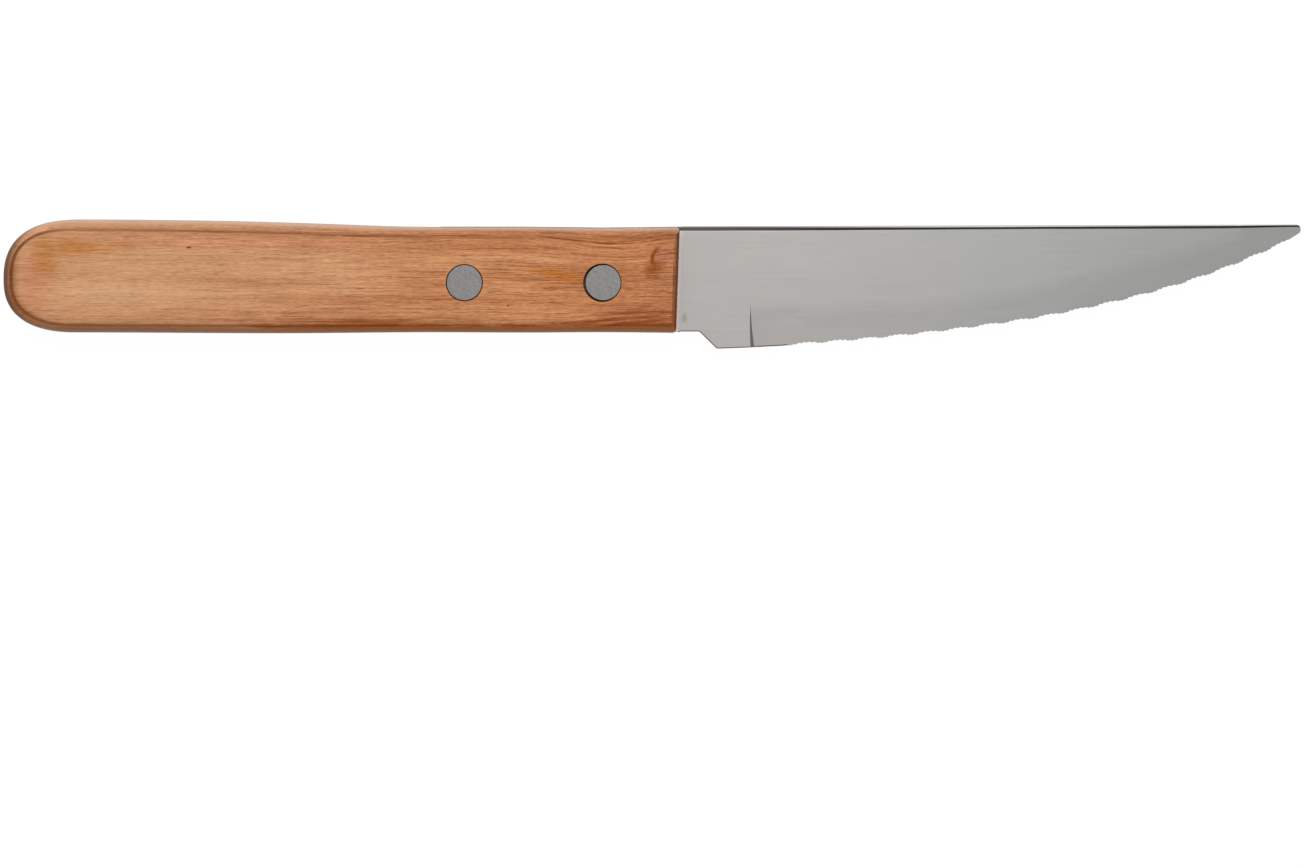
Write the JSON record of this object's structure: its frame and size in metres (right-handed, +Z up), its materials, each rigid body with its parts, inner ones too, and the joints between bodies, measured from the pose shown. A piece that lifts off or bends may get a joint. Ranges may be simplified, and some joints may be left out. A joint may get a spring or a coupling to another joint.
{
  "type": "steak knife",
  "caption": "Serrated steak knife with a straight spine, a stepped heel and a rounded wooden handle riveted over a half tang.",
  "frame": {"origin": "under the middle of the knife as it lies on its side, at the level it rests on", "axes": "+X from the butt to the tip, +Y from the cutting edge to the spine, +Z up, square to the blade"},
  "size_m": [0.21, 0.0209, 0.01],
  "materials": {
    "blade": "satin stainless steel, brushed along its length",
    "handle": "fine-grained reddish brown hardwood, lightly oiled, with streaks and a knot",
    "rear_rivet_pin": "flat heads sanded flush with the wood",
    "rear_rivet_sleeve": "flat heads sanded flush with the wood",
    "front_rivet_pin": "flat heads sanded flush with the wood",
    "front_rivet_sleeve": "flat heads sanded flush with the wood"
  },
  "bodies": {
    "root": {"blade": "blade", "handle": "handle", "rear_rivet_pin": "rear_rivet_pin", "rear_rivet_sleeve": "rear_rivet_sleeve", "front_rivet_pin": "front_rivet_pin", "front_rivet_sleeve": "front_rivet_sleeve"}
  },
  "joints": []
}
